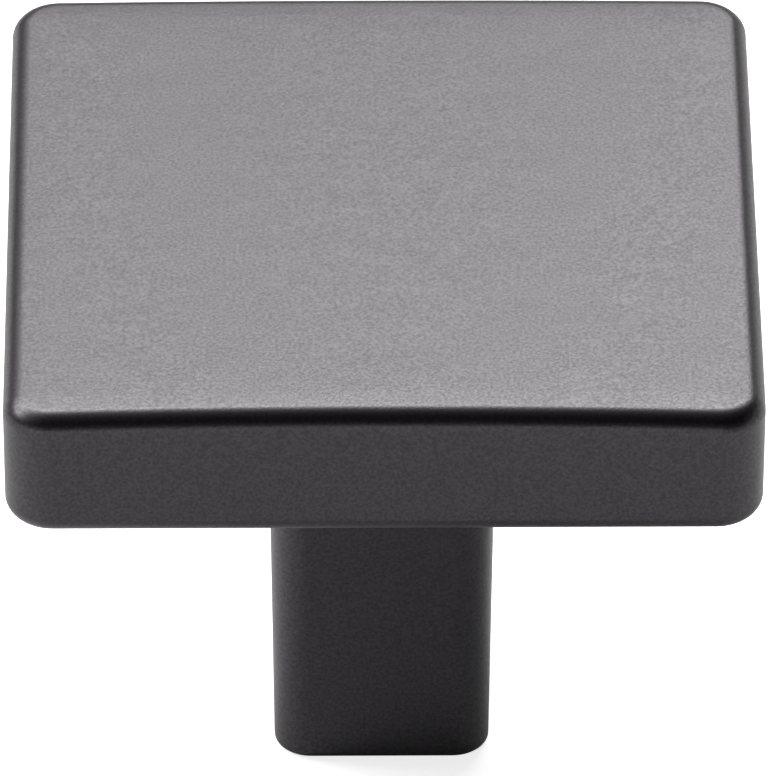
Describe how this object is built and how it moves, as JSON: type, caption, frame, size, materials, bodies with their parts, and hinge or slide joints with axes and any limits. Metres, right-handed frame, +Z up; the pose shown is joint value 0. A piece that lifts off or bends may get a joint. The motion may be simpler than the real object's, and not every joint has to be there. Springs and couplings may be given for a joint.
{
  "type": "cabinet knob",
  "caption": "Square cabinet and drawer knob in matt black, with a crowned face, a tapered square post and a blind tapped hole in its foot.",
  "frame": {"origin": "centre of the foot, the flat end of the post that seats on the door or drawer front", "axes": "+Z runs up the post, away from the door, to the head; the sides of the head and the post face along X and Y"},
  "size_m": [0.03, 0.03, 0.0247],
  "materials": {
    "black_coat": "matt black powder coat with a fine grain over a zinc die casting"
  },
  "bodies": {
    "root": {"knob": "black_coat"}
  },
  "joints": []
}
